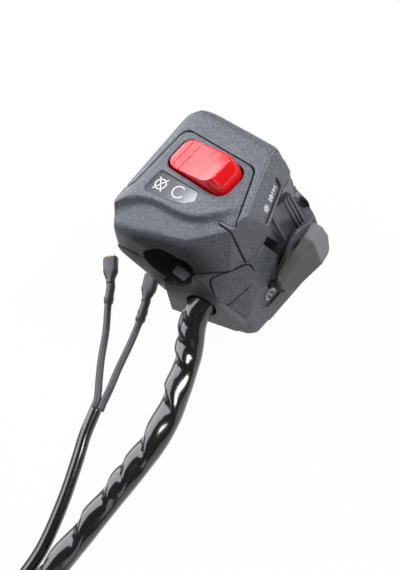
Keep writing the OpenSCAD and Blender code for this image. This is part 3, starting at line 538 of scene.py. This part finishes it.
def terminal_tongue(name, end, degrees, material, node):
    """Flat receptacle in the mouth of its boot: a strip with rolled edges and a pressed rib."""
    turn = Matrix.Translation(mm(end[0], end[1], TERMINAL_Z)) @ Matrix.Rotation(math.radians(degrees), 4, "Z")
    bm = bmesh.new()
    size = Matrix.Diagonal((TERMINAL_LENGTH * MM, 4.2 * MM, 0.6 * MM, 1))
    strip = bmesh.ops.create_cube(bm, size=1, matrix=size)["verts"]
    edges = list({e for v in strip for e in v.link_edges})
    bmesh.ops.bevel(bm, geom=edges, offset=0.15 * MM, segments=2, profile=0.5, affect="EDGES", material=-1)
    for side, lift, thick in ((-1, 0.05, 0.42), (1, 0.05, 0.42), (0, 0.1, 0.5)):
        bmesh.ops.create_cone(
            bm, cap_ends=True, segments=20, radius1=thick * MM, radius2=thick * MM,
            depth=TERMINAL_LENGTH * MM,
            matrix=Matrix.Translation(mm(0, side * 1.9, lift)) @ Matrix.Rotation(math.pi / 2, 4, "Y"))
    bmesh.ops.transform(bm, matrix=turn @ Matrix.Translation(mm(11.7, 0, 0.5)), verts=bm.verts)
    finish_piece(name, as_mesh(bm, name), "housing", material, "terminal", node, smooth=False)


boot_sleeving("boot_a_sleeving", lead_a_route[-1], boot_a_turn, 3, "boot_a")
boot_sleeving("boot_b_sleeving", lead_b_route[-1], boot_b_turn, 8, "boot_b")
terminal_tongue("terminal_a_tongue", lead_a_route[-1], boot_a_turn, brass, "terminal_a")
terminal_tongue("terminal_b_tongue", lead_b_route[-1], boot_b_turn, copper, "terminal_b")

# Grommet round the harness, set back in its hole

hole_y, hole_z = harness_route[0][1:]
bm = bmesh.new()
section = [bm.verts.new(mm(x, hole_y + r, hole_z)) for x, r in
           ((-20, 5.3), (-23.6, 5.3), (-24.2, 5.6), (-24.4, 6.0), (-24.2, 6.4), (-23.6, 6.55), (-20, 6.55))]
face = bm.faces.new(section)
bmesh.ops.spin(bm, geom=[face, *face.edges, *section], cent=mm(0, hole_y, hole_z), axis=(1, 0, 0),
               angle=math.tau, steps=48, use_merge=True)
inner = [f for f in bm.faces if len(f.verts) > 4]
bmesh.ops.delete(bm, geom=inner, context="FACES_ONLY")
bmesh.ops.remove_doubles(bm, verts=bm.verts, dist=1e-6)
bmesh.ops.recalc_face_normals(bm, faces=bm.faces)
finish_piece("grommet_ring", as_mesh(bm, "grommet_ring"), "housing", rubber, "grommet", "harness_grommet")


# Moulded pieces: copies of the solids with the radii that a mould gives their edges


def node_copy(name):
    """A merged copy of a CAD node's mesh."""
    bm = bmesh.new()
    bm.from_mesh(nodes[name].data)
    bmesh.ops.remove_doubles(bm, verts=bm.verts, dist=1e-6)
    return bm


def through(mesh, kind, **settings):
    """A mesh as one modifier leaves it; the mesh that goes in is removed."""
    shown = bpy.data.objects.new("skin", mesh)
    scene.collection.objects.link(shown)
    modifier = shown.modifiers.new("once", kind)
    for key, value in settings.items():
        setattr(modifier, key, value)
    made = bpy.data.meshes.new_from_object(shown.evaluated_get(bpy.context.evaluated_depsgraph_get()))
    bpy.data.objects.remove(shown)
    bpy.data.meshes.remove(mesh)
    return made


def ease_edges(bm, rounds, test=None):
    """Smooth the points that pass a test on their place in mm."""
    chosen = [v for v in bm.verts if test is None or test(*(v.co / MM))]
    for _ in range(rounds):
        bmesh.ops.smooth_vert(bm, verts=chosen, factor=0.5, use_axis_x=True, use_axis_y=True, use_axis_z=True)


def wave_x(y):
    """Plan of the soft step across the face, as in the part's source."""
    t = (y - 4) / 20
    return -14.4 - 1.6 * t - 8 * t ** 3


def moulding(node, cell, rounds, body, material, slot, *regions, keep=1.0, press=None, crisp=None):
    """A solid's copy in even cells, given in mm, with its edges eased: more in some regions, not where it
    stays crisp. Then it is pressed, and thinned to the share of its faces that is kept."""
    skin = through(as_mesh(node_copy(node), "skin"), "REMESH", mode="VOXEL", voxel_size=cell * MM)
    bm = bmesh.new()
    bm.from_mesh(skin)
    bpy.data.meshes.remove(skin)
    ease_edges(bm, rounds, (lambda *at: not crisp(*at)) if crisp else None)
    for extra, test in regions:
        ease_edges(bm, extra, test)
    if press:
        press(bm)
    mesh = as_mesh(bm, node + "_moulding")
    if keep < 1:
        mesh = through(mesh, "DECIMATE", ratio=keep)
    finish_piece(node + "_moulding", mesh, body, material, slot, node)


# Rocker's grooves in mm: their places along Y, half their width, the width of a sloping side, their depth.
STRIPES, STRIPE_HALF, STRIPE_SIDE, STRIPE_DEPTH = (11.2, 15), 0.3, 0.2, 0.28
# Start symbol's pocket: a point on its floor, and the directions into it and up it. Its groove in mm: the
# edges of its sides, counted up from that point, and its depth.
POCKET_FLOOR = mm(0, -33.21, -19.7)
POCKET_IN, POCKET_UP = Vector((0, 0.992, -0.124)), Vector((0, 0.124, 0.992))
GROOVE_EDGES, GROOVE_DEPTH = (-5.75, -5.55, -5.0, -4.8), 1.1


def press_stripe(bm):
    """Two fine grooves across the rocker's low end, with a flat band between them."""
    for at in STRIPES:
        for shift in (-STRIPE_HALF, STRIPE_SIDE - STRIPE_HALF, STRIPE_HALF - STRIPE_SIDE, STRIPE_HALF):
            bmesh.ops.bisect_plane(bm, geom=[*bm.verts, *bm.edges, *bm.faces], plane_co=mm(0, at + shift, 0),
                                   plane_no=(0, 1, 0), dist=1e-6)
    bm.normal_update()
    for v in bm.verts:
        if v.normal.z > 0.75:
            off = min(abs(v.co.y / MM - at) for at in STRIPES)
            v.co.z -= STRIPE_DEPTH * max(0.0, min(1.0, (STRIPE_HALF - off) / STRIPE_SIDE)) * MM


def in_start_pocket(x, y, z):
    """Whether a place in mm is in the start symbol's pocket."""
    return -14 < x < 1 and y < -31 and -27 < z < -13


def press_pocket(bm):
    """Deep groove along the lower edge of the start symbol's pocket."""
    for shift in GROOVE_EDGES:
        bmesh.ops.bisect_plane(bm, geom=[*bm.verts, *bm.edges, *bm.faces], plane_no=POCKET_UP, dist=1e-6,
                               plane_co=POCKET_FLOOR + POCKET_UP * shift * MM)
    for v in bm.verts:
        x, y, z = v.co / MM
        if -11.5 < x < -0.8 and -33.6 < y < -31.5 and -27 < z < -23:
            rise = (v.co - POCKET_FLOOR).dot(POCKET_UP) / MM
            if GROOVE_EDGES[1] - 0.05 < rise < GROOVE_EDGES[2] + 0.05:
                v.co += POCKET_IN * GROOVE_DEPTH * MM


moulding(
    "upper_shell", 0.35, 5, "housing", shell_abs, "shell",
    (70, lambda x, y, z: x > 25.5 and z > 16.5),
    (40, lambda x, y, z: z > 15 and y > 25.5))
moulding(
    "face_cover", 0.3, 6, "housing", shell_abs, "shell",
    (70, lambda x, y, z: z > 14 and -6.5 < x - wave_x(y) < 1.8 and y < 25),
    (60, lambda x, y, z: x < -17 and z > 10 and y > 0),
    (90, lambda x, y, z: x < -26 and y > 14))
moulding(
    "lower_shell", 0.36, 4, "housing", lower_abs_painted_shade, "shell",
    (70, lambda x, y, z: x < -12 and y < -27 and z < -20),
    (60, lambda x, y, z: x < -26 and y > 12), keep=0.6, crisp=in_start_pocket, press=press_pocket)
moulding("blanking_cover", 0.25, 6, "housing", lower_abs_painted_shade, "shell")
moulding("kill_rocker", 0.17, 12, "rocker", rocker_red, "rocker", press=press_stripe)
moulding("slider_knob", 0.18, 8, "slider", slider_black, "knob")
moulding("starter_lever", 0.22, 12, "starter", lever_nylon, "lever")
moulding("harness_joint", 0.4, 14, "housing", rubber, "grommet")
moulding("coil_tie", 0.25, 5, "housing", strap_nylon, "tie")
moulding("harness_connector", 0.3, 5, "housing", nylon, "connector")


# Legend insert and printed symbols


def laid_on(at, across, upward):
    """Matrix that lays shapes drawn flat in millimetres on a surface, at a point, by its two directions."""
    x = Vector(across).normalized()
    y = Vector(upward)
    y = (y - x * y.dot(x)).normalized()
    turn = Matrix((x, y, x.cross(y))).transposed().to_4x4()
    return Matrix.Translation(mm(*at)) @ turn @ Matrix.Scale(MM, 4)


# Thickness of the ink in mm, drawn thicker than the real film so that it stands clear of the grain, and the
# top of the legend plate's solid.
INK, PLATE_TOP = 0.08, 23.6


def ink_arc(bm, radius, width, first, last, at=(0, 0)):
    """Printed arc between two angles in degrees."""
    a = math.radians(first)
    inner, outer = radius - width / 2, radius + width / 2
    corners = [bm.verts.new((at[0] + r * math.cos(a), at[1] + r * math.sin(a), z))
               for r, z in ((inner, 0), (outer, 0), (outer, INK), (inner, INK))]
    face = bm.faces.new(corners)
    bmesh.ops.spin(bm, geom=[face, *face.edges, *face.verts], cent=(*at, 0), axis=(0, 0, 1),
                   angle=math.radians(last - first), steps=max(4, round((last - first) / 9)), use_merge=False)
    if last - first == 360:
        along, middle = Vector((-math.sin(a), math.cos(a), 0)), Vector((*at, 0))
        ends = [f for f in bm.faces if all(abs((v.co - middle).dot(along)) < 1e-4 for v in f.verts)]
        bmesh.ops.delete(bm, geom=ends, context="FACES_ONLY")
        bmesh.ops.remove_doubles(bm, verts=bm.verts, dist=1e-4)


def ink_bar(bm, p, q, width):
    """Printed bar between two points."""
    p, q = Vector((*p, INK / 2)), Vector((*q, INK / 2))
    d = q - p
    place = Matrix.Translation((p + q) / 2) @ Matrix.Rotation(math.atan2(d.y, d.x), 4, "Z")
    bmesh.ops.create_cube(bm, size=1, matrix=place @ Matrix.Diagonal((d.length, width, INK, 1)))


def printed(name, bm, place):
    """Lay a drawn symbol on its surface as a piece of ink."""
    bmesh.ops.recalc_face_normals(bm, faces=bm.faces)
    bmesh.ops.transform(bm, matrix=place, verts=bm.verts)
    finish_piece(name, as_mesh(bm, name), "housing", ink_white, "legend", smooth=False)


def insert_top(y):
    """Height of the legend insert: it dips towards its left end."""
    return PLATE_TOP + 0.02 - 0.5 * ease((y + 2) / 20)


bm = node_copy("legend_plate")
bmesh.ops.dissolve_limit(bm, angle_limit=0.02, verts=bm.verts, edges=bm.edges)
top = [f for f in bm.faces if f.normal.z > 0.9]
rim = list({e for f in top for e in f.edges})
bmesh.ops.bevel(bm, geom=rim, offset=0.15 * MM, segments=2, profile=0.5, affect="EDGES", material=-1)
for i in range(-2, 18, 2):
    bmesh.ops.bisect_plane(bm, geom=[*bm.verts, *bm.edges, *bm.faces], plane_co=mm(0, i, 0),
                           plane_no=(0, 1, 0))
for v in bm.verts:
    if v.co.z > (PLATE_TOP - 0.4) * MM:
        v.co.z += (insert_top(v.co.y / MM) - PLATE_TOP) * MM
finish_piece("legend_insert", as_mesh(bm, "legend_insert"), "housing", legend_painted_reflection, "legend",
             "legend_plate", smooth=False)

bm = bmesh.new()
ink_arc(bm, 2.3, 0.45, 60, 380)
for degrees in (132, 62):
    a = math.radians(degrees)
    ink_bar(bm, (-3.6 * math.cos(a), -3.6 * math.sin(a)), (3.6 * math.cos(a), 3.6 * math.sin(a)), 0.45)
ink_bar(bm, (2.2, 0.75), (3.3, 1.3), 0.45)
ink_bar(bm, (2.2, 0.75), (1.6, 1.9), 0.45)
printed("stop_symbol", bm, laid_on((-7.8, 14.1, insert_top(14.1)), (0, -1, 0), (1, 0, 0)))

bm = bmesh.new()
ink_arc(bm, 2.6, 0.5, 62, 348)
printed("run_symbol", bm, laid_on((-6.7, 5.1, insert_top(5.1)), (0, -1, 0), (1, 0, 0)))

along_chamfer, up_chamfer = (0.932, 0.362, 0.013), (-0.177, 0.425, 0.888)
bm = bmesh.new()
ink_arc(bm, 0.62, 0.45, 0, 360)
for i in range(8):
    a = math.radians(45 * i + 22)
    ink_bar(bm, (1.0 * math.cos(a), 1.0 * math.sin(a)), (1.6 * math.cos(a), 1.6 * math.sin(a)), 0.42)
printed("full_beam_symbol", bm, laid_on((9.44, -24.79, 16.91), along_chamfer, up_chamfer))

bm = bmesh.new()
ink_arc(bm, 0.85, 0.44, -90, 90, (0.2, 0))
ink_bar(bm, (0.2, -1.05), (0.2, 1.05), 0.44)
for i in (-1, 0, 1):
    ink_bar(bm, (-0.35, i * 0.7), (-1.45, i * 0.7 - 0.3), 0.38)
printed("dipped_beam_symbol", bm, laid_on((14.13, -22.98, 16.96), along_chamfer, up_chamfer))

bm = bmesh.new()
for side in (-1, 1):
    ink_arc(bm, 0.68, 0.38, 90 - 90 * side - 90, 90 - 90 * side + 90, (-side * 0.25, 0))
    for i in (-1, 0, 1):
        ink_bar(bm, (-side * 1.15, i * 0.55), (-side * 1.8, i * 0.55), 0.34)
printed("side_lamps_symbol", bm, laid_on((17.39, -21.7, 17.02), along_chamfer, up_chamfer))

bm = bmesh.new()
ink_arc(bm, 2.45, 0.9, -30, 240)
ink_bar(bm, (-0.8, 1.2), (0.35, 0.1), 0.85)
ink_bar(bm, (0.35, 0.1), (-0.35, -0.1), 0.85)
ink_bar(bm, (-0.35, -0.1), (0.8, -1.2), 0.85)
# The pocket's floor lies 0.8 mm deep in the near wall, which leans in by 1 in 8.
start_z = -21.2
pocket_y = -35 + (start_z + 34) * 0.125 + 0.8
printed("start_symbol", bm, laid_on((-6.1, pocket_y - 0.14, start_z), (1, 0, 0), POCKET_UP))


# Finishes of the solids

for node_name, made in {
    "upper_shell": shell_abs, "face_cover": shell_abs, "lower_shell": lower_abs_painted_shade, "blanking_cover": lower_abs_painted_shade,
    "legend_plate": legend_painted_reflection, "kill_rocker": rocker_red, "slider_knob": slider_black,
    "slider_track": slider_black, "starter_lever": lever_nylon, "clamp_screws": zinc, "module_screws": zinc,
    "kill_pin": zinc, "starter_pin": zinc, "starter_spring": zinc, "earth_strip": dull_tin,
    "kill_base": phenolic, "slider_base": phenolic, "starter_base": phenolic, "kill_contacts": copper,
    "rocker_contact": copper, "slider_contacts": copper, "slider_contact": copper,
    "starter_contacts": copper, "starter_bridge": copper, "slider_carrier": nylon,
    "harness_grommet": rubber, "harness_clip": rubber, "harness_joint": rubber, "coil_tie": strap_nylon,
    "harness_connector": nylon, "boot_a": boot_pvc, "boot_b": boot_pvc, "terminal_a": brass,
    "terminal_b": copper,
}.items():
    dress(nodes[node_name], made)


# Studio: pale floor, soft lamps, white surround

bm = bmesh.new()
bmesh.ops.create_grid(bm, x_segments=1, y_segments=1, size=6)
bmesh.ops.translate(bm, verts=bm.verts, vec=mm(0, 0, TABLE - 0.05))
floor = bpy.data.objects.new("floor", as_mesh(bm, "floor"))
scene.collection.objects.link(floor)
# Paper, plain white to the camera and in mirrored light, and grey in the light that it throws on the part.
paper, tree, shader, _ = start("white_paper_floor", Base_Color=hexed("#8c8c8c"), Roughness=0.9)
ray = add(tree, "ShaderNodeLightPath")
seen = add(tree, "ShaderNodeMath", {"operation": "MAXIMUM"},
           {0: ray.outputs["Is Camera Ray"], 1: ray.outputs["Is Glossy Ray"]})
share = add(tree, "ShaderNodeMath", {"operation": "MULTIPLY", 1: 0.93}, {0: seen.outputs[0]})
white = add(tree, "ShaderNodeEmission", {"Strength": 1.04})
mixed = add(tree, "ShaderNodeMixShader",
            links={0: share.outputs[0], 1: shader.outputs[0], 2: white.outputs[0]})
tree.links.new(mixed.outputs[0], tree.nodes["Material Output"].inputs["Surface"])
dress(floor, paper)

# White surround that the camera sees, and a faint light from it.
world = bpy.data.worlds.new("studio")
scene.world = world
world.use_nodes = True
tree = world.node_tree
ray = add(tree, "ShaderNodeLightPath")
seen = add(tree, "ShaderNodeMath", {"operation": "MAXIMUM"},
           {0: ray.outputs["Is Camera Ray"], 1: ray.outputs["Is Transmission Ray"]})
level = add(tree, "ShaderNodeMapRange", {"To Min": 0.16, "To Max": 1.0}, {"Value": seen.outputs[0]})
tree.links.new(level.outputs["Result"], tree.nodes["Background"].inputs["Strength"])
tree.nodes["Background"].inputs["Color"].default_value = (1, 1, 1, 1)


def softbox(name, place, size, power, colour=(1, 1, 1)):
    """A soft lamp that faces the part."""
    lamp = bpy.data.lights.new(name, "AREA")
    lamp.shape, lamp.size, lamp.size_y = "RECTANGLE", *size
    lamp.energy, lamp.color = power, colour
    held = bpy.data.objects.new(name, lamp)
    scene.collection.objects.link(held)
    held.location = place
    held.rotation_euler = (-Vector(place)).to_track_quat("-Z", "Y").to_euler()


# The key is a little cool, as in the photograph's highlights.
softbox("key_softbox", (-0.04, 0.43, 0.53), (0.75, 0.55), 6.0, (0.89, 0.92, 1.0))
softbox("left_softbox", (0.0, 0.62, 0.15), (0.5, 0.34), 2.2)
softbox("front_softbox", (0.42, -0.36, 0.5), (0.3, 0.3), 4.8)
softbox("near_softbox", (-0.32, -0.62, 0.28), (0.4, 0.4), 0.7)

scene.view_settings.view_transform = "Standard"
